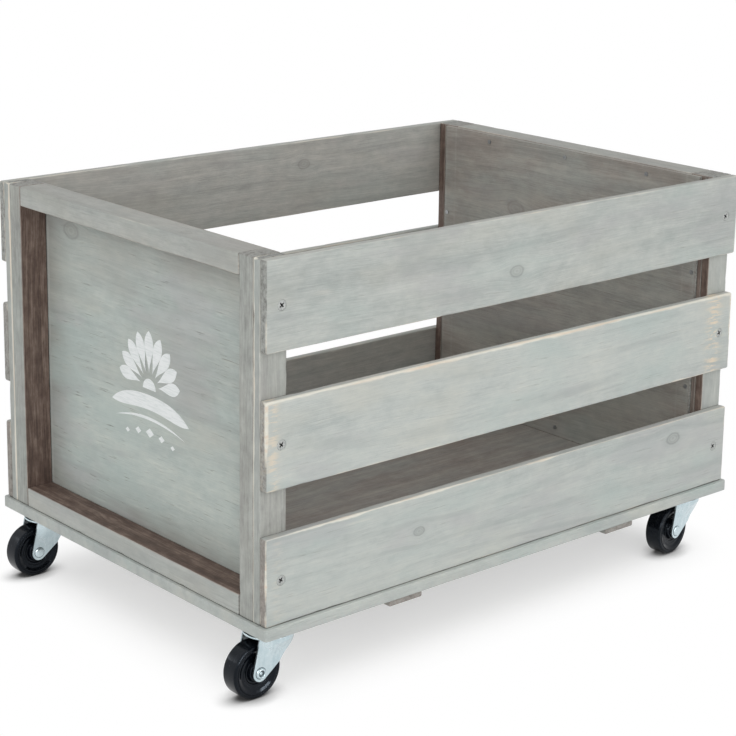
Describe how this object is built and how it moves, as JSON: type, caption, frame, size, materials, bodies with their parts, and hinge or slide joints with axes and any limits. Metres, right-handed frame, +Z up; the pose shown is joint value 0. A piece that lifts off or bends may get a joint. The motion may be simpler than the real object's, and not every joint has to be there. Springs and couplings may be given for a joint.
{
  "type": "record crate",
  "caption": "Open slatted wooden crate with framed plywood ends and a board floor, on swivel casters, for storing and rolling a row of records.",
  "frame": {"origin": "on the ground under the middle of the crate; at rest the casters reach 11.5 mm past the board's left end and 5.5 mm past its right end, so the middle of the whole box lies 3 mm to -X of it", "axes": "+X along the crate towards its right end, -Y the front slatted side, +Z up"},
  "size_m": [0.522, 0.355, 0.33],
  "materials": {
    "washed_pine": "grey washed pine, matt, with pale worn edges",
    "washed_ply": "grey washed plywood, matt, upright grain",
    "screw_steel": "plain bright steel",
    "zinc_steel": "zinc plated pressed steel, satin, slightly blue",
    "black_wheel": "black moulded plastic, semi gloss"
  },
  "bodies": {
    "crate": {"bottom_board": "washed_pine", "left_floor_cleat": "washed_pine", "right_floor_cleat": "washed_pine", "front_slat_bottom": "washed_pine", "front_slat_middle": "washed_pine", "front_slat_top": "washed_pine", "back_slat_bottom": "washed_pine", "back_slat_middle": "washed_pine", "back_slat_top": "washed_pine", "front_left_batten": "washed_pine", "front_right_batten": "washed_pine", "back_left_batten": "washed_pine", "back_right_batten": "washed_pine", "front_left_post": "washed_pine", "front_right_post": "washed_pine", "back_left_post": "washed_pine", "back_right_post": "washed_pine", "left_bottom_rail": "washed_pine", "left_top_rail": "washed_pine", "right_bottom_rail": "washed_pine", "right_top_rail": "washed_pine", "left_end_panel": "washed_ply", "right_end_panel": "washed_ply", "slat_screws": "screw_steel", "frame_screws": "screw_steel", "board_screws": "screw_steel", "cleat_screws": "screw_steel", "caster_screws": "screw_steel", "panel_nails": "screw_steel", "front_left_plate": "zinc_steel", "front_left_kingpin": "zinc_steel", "front_right_plate": "zinc_steel", "front_right_kingpin": "zinc_steel", "back_left_plate": "zinc_steel", "back_left_kingpin": "zinc_steel", "back_right_plate": "zinc_steel", "back_right_kingpin": "zinc_steel"},
    "front_left_swivel": {"front_left_balls": "screw_steel", "front_left_fork": "zinc_steel", "front_left_axle": "zinc_steel"},
    "front_left_roller": {"front_left_wheel": "black_wheel"},
    "front_right_swivel": {"front_right_balls": "screw_steel", "front_right_fork": "zinc_steel", "front_right_axle": "zinc_steel"},
    "front_right_roller": {"front_right_wheel": "black_wheel"},
    "back_left_swivel": {"back_left_balls": "screw_steel", "back_left_fork": "zinc_steel", "back_left_axle": "zinc_steel"},
    "back_left_roller": {"back_left_wheel": "black_wheel"},
    "back_right_swivel": {"back_right_balls": "screw_steel", "back_right_fork": "zinc_steel", "back_right_axle": "zinc_steel"},
    "back_right_roller": {"back_right_wheel": "black_wheel"}
  },
  "joints": [
    {"name": "front_left_caster_swivel", "type": "hinge", "parent": "crate", "child": "front_left_swivel", "pos_m": [-0.228, -0.149, 0.0475], "axis": [0, 0, 1], "continuous": true},
    {"name": "front_left_wheel_spin", "type": "hinge", "parent": "front_left_swivel", "child": "front_left_roller", "pos_m": [-0.243, -0.149, 0.021], "axis": [0, 1, 0], "continuous": true},
    {"name": "front_right_caster_swivel", "type": "hinge", "parent": "crate", "child": "front_right_swivel", "pos_m": [0.222, -0.149, 0.0475], "axis": [0, 0, 1], "continuous": true},
    {"name": "front_right_wheel_spin", "type": "hinge", "parent": "front_right_swivel", "child": "front_right_roller", "pos_m": [0.20711, -0.15083, 0.021], "axis": [-0.1219, 0.9925, 0], "continuous": true},
    {"name": "back_left_caster_swivel", "type": "hinge", "parent": "crate", "child": "back_left_swivel", "pos_m": [-0.228, 0.149, 0.0475], "axis": [0, 0, 1], "continuous": true},
    {"name": "back_left_wheel_spin", "type": "hinge", "parent": "back_left_swivel", "child": "back_left_roller", "pos_m": [-0.243, 0.149, 0.021], "axis": [0, 1, 0], "continuous": true},
    {"name": "back_right_caster_swivel", "type": "hinge", "parent": "crate", "child": "back_right_swivel", "pos_m": [0.222, 0.149, 0.0475], "axis": [0, 0, 1], "continuous": true},
    {"name": "back_right_wheel_spin", "type": "hinge", "parent": "back_right_swivel", "child": "back_right_roller", "pos_m": [0.237, 0.149, 0.021], "axis": [0, -1, 0], "continuous": true}
  ]
}
